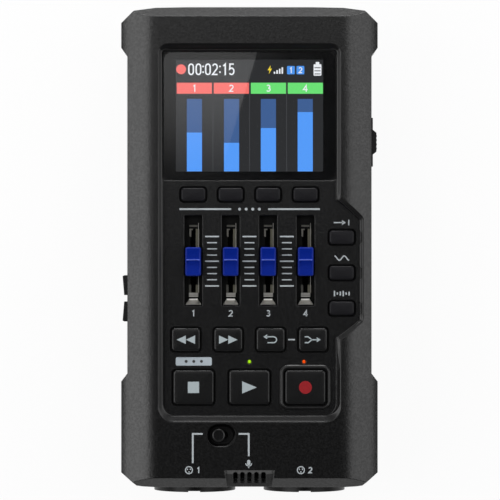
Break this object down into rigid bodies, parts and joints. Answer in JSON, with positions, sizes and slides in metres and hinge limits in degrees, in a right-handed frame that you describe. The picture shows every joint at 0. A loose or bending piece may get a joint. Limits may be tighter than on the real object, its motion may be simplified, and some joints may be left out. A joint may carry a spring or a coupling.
{
  "type": "digital multitrack recorder",
  "caption": "Flat handheld sound recorder with a display, sliding faders, transport keys, an input selector, side controls and round input sockets at its lower end.",
  "frame": {"origin": "centre of the bounding box at the underside of the rubber feet", "axes": "+X to the right of the face, +Y towards the display end, +Z out of the face"},
  "size_m": [0.0738, 0.1402, 0.0402],
  "materials": {
    "casing": "fine grain",
    "pane": "polished",
    "display": "gloss",
    "light_guide": "satin",
    "board": "satin",
    "key": "satin",
    "fader_cap": "satin",
    "sheet_steel": "plain",
    "switch_body": "plain",
    "screw": "blackened",
    "green_light": "clear",
    "red_light": "clear",
    "chip": "plain",
    "small_control": "satin",
    "socket": "satin",
    "microphone": "satin",
    "rubber": "matte",
    "cell": "sleeved",
    "insert": "machined"
  },
  "bodies": {
    "casing": {"front_case": "casing", "rear_case": "casing", "display_window": "pane", "display_panel": "display", "backlight_unit": "light_guide", "control_board": "board", "main_board": "board", "jack_board": "board", "fader_frame_1": "sheet_steel", "fader_frame_2": "sheet_steel", "fader_frame_3": "sheet_steel", "fader_frame_4": "sheet_steel", "battery_contacts": "sheet_steel", "usb_socket": "sheet_steel", "card_reader": "sheet_steel", "tact_switches": "switch_body", "selector_switch": "switch_body", "volume_switches": "switch_body", "power_switch": "switch_body", "case_screws": "screw", "board_screws": "screw", "play_light": "green_light", "record_light": "red_light", "indicator_leds": "chip", "jack_shell_a": "socket", "jack_shell_b": "socket", "jack_insert_a": "socket", "jack_insert_b": "socket", "headphone_socket": "socket", "microphone_capsule": "microphone", "microphone_gasket": "rubber", "rubber_feet": "rubber", "battery_cells": "cell", "tripod_insert": "insert"},
    "soft_key_1_body": {"soft_key_1": "key"},
    "soft_key_2_body": {"soft_key_2": "key"},
    "soft_key_3_body": {"soft_key_3": "key"},
    "soft_key_4_body": {"soft_key_4": "key"},
    "input_key_body": {"input_key": "key"},
    "effect_key_body": {"effect_key": "key"},
    "rhythm_key_body": {"rhythm_key": "key"},
    "rewind_key_body": {"rewind_key": "key"},
    "forward_key_body": {"forward_key": "key"},
    "undo_key_body": {"undo_key": "key"},
    "bounce_key_body": {"bounce_key": "key"},
    "stop_key_body": {"stop_key": "key"},
    "play_key_body": {"play_key": "key"},
    "record_key_body": {"record_key": "key"},
    "fader_1": {"fader_cap_1": "fader_cap", "fader_lever_1": "sheet_steel"},
    "fader_2": {"fader_cap_2": "fader_cap", "fader_lever_2": "sheet_steel"},
    "fader_3": {"fader_cap_3": "fader_cap", "fader_lever_3": "sheet_steel"},
    "fader_4": {"fader_cap_4": "fader_cap", "fader_lever_4": "sheet_steel"},
    "selector": {"selector_knob": "small_control"},
    "rocker": {"volume_rocker": "small_control"},
    "slider": {"power_slider": "small_control"},
    "door": {"battery_door": "casing"}
  },
  "joints": [
    {"name": "soft_key_1_press", "type": "slide", "parent": "casing", "child": "soft_key_1_body", "axis": [0, 0, -1], "range_m": [0, 0.0006], "stiffness_N_per_m": 800},
    {"name": "soft_key_2_press", "type": "slide", "parent": "casing", "child": "soft_key_2_body", "axis": [0, 0, -1], "range_m": [0, 0.0006], "stiffness_N_per_m": 800},
    {"name": "soft_key_3_press", "type": "slide", "parent": "casing", "child": "soft_key_3_body", "axis": [0, 0, -1], "range_m": [0, 0.0006], "stiffness_N_per_m": 800},
    {"name": "soft_key_4_press", "type": "slide", "parent": "casing", "child": "soft_key_4_body", "axis": [0, 0, -1], "range_m": [0, 0.0006], "stiffness_N_per_m": 800},
    {"name": "input_key_press", "type": "slide", "parent": "casing", "child": "input_key_body", "axis": [0, 0, -1], "range_m": [0, 0.0006], "stiffness_N_per_m": 800},
    {"name": "effect_key_press", "type": "slide", "parent": "casing", "child": "effect_key_body", "axis": [0, 0, -1], "range_m": [0, 0.0006], "stiffness_N_per_m": 800},
    {"name": "rhythm_key_press", "type": "slide", "parent": "casing", "child": "rhythm_key_body", "axis": [0, 0, -1], "range_m": [0, 0.0006], "stiffness_N_per_m": 800},
    {"name": "rewind_key_press", "type": "slide", "parent": "casing", "child": "rewind_key_body", "axis": [0, 0, -1], "range_m": [0, 0.0006], "stiffness_N_per_m": 800},
    {"name": "forward_key_press", "type": "slide", "parent": "casing", "child": "forward_key_body", "axis": [0, 0, -1], "range_m": [0, 0.0006], "stiffness_N_per_m": 800},
    {"name": "undo_key_press", "type": "slide", "parent": "casing", "child": "undo_key_body", "axis": [0, 0, -1], "range_m": [0, 0.0006], "stiffness_N_per_m": 800},
    {"name": "bounce_key_press", "type": "slide", "parent": "casing", "child": "bounce_key_body", "axis": [0, 0, -1], "range_m": [0, 0.0006], "stiffness_N_per_m": 800},
    {"name": "stop_key_press", "type": "slide", "parent": "casing", "child": "stop_key_body", "axis": [0, 0, -1], "range_m": [0, 0.0006], "stiffness_N_per_m": 800},
    {"name": "play_key_press", "type": "slide", "parent": "casing", "child": "play_key_body", "axis": [0, 0, -1], "range_m": [0, 0.0006], "stiffness_N_per_m": 800},
    {"name": "record_key_press", "type": "slide", "parent": "casing", "child": "record_key_body", "axis": [0, 0, -1], "range_m": [0, 0.0006], "stiffness_N_per_m": 800},
    {"name": "fader_1_slide", "type": "slide", "parent": "casing", "child": "fader_1", "axis": [0, 1, 0], "range_m": [-0.007, 0.007]},
    {"name": "fader_2_slide", "type": "slide", "parent": "casing", "child": "fader_2", "axis": [0, 1, 0], "range_m": [-0.007, 0.007]},
    {"name": "fader_3_slide", "type": "slide", "parent": "casing", "child": "fader_3", "axis": [0, 1, 0], "range_m": [-0.007, 0.007]},
    {"name": "fader_4_slide", "type": "slide", "parent": "casing", "child": "fader_4", "axis": [0, 1, 0], "range_m": [-0.007, 0.007]},
    {"name": "selector_slide", "type": "slide", "parent": "casing", "child": "selector", "axis": [1, 0, 0], "range_m": [0, 0.0016]},
    {"name": "rocker_tilt", "type": "hinge", "parent": "casing", "child": "rocker", "pos_m": [-0.0324, -0.01383, 0.0255], "axis": [0, 0, 1], "range_deg": [-3, 3], "stiffness_Nm_per_rad": 0.05},
    {"name": "power_slide", "type": "slide", "parent": "casing", "child": "slider", "axis": [0, 1, 0], "range_m": [-0.0025, 0.0025]},
    {"name": "door_hinge", "type": "hinge", "parent": "casing", "child": "door", "pos_m": [0, -0.01975, 0.002], "axis": [-1, 0, 0], "range_deg": [0, 90]}
  ]
}
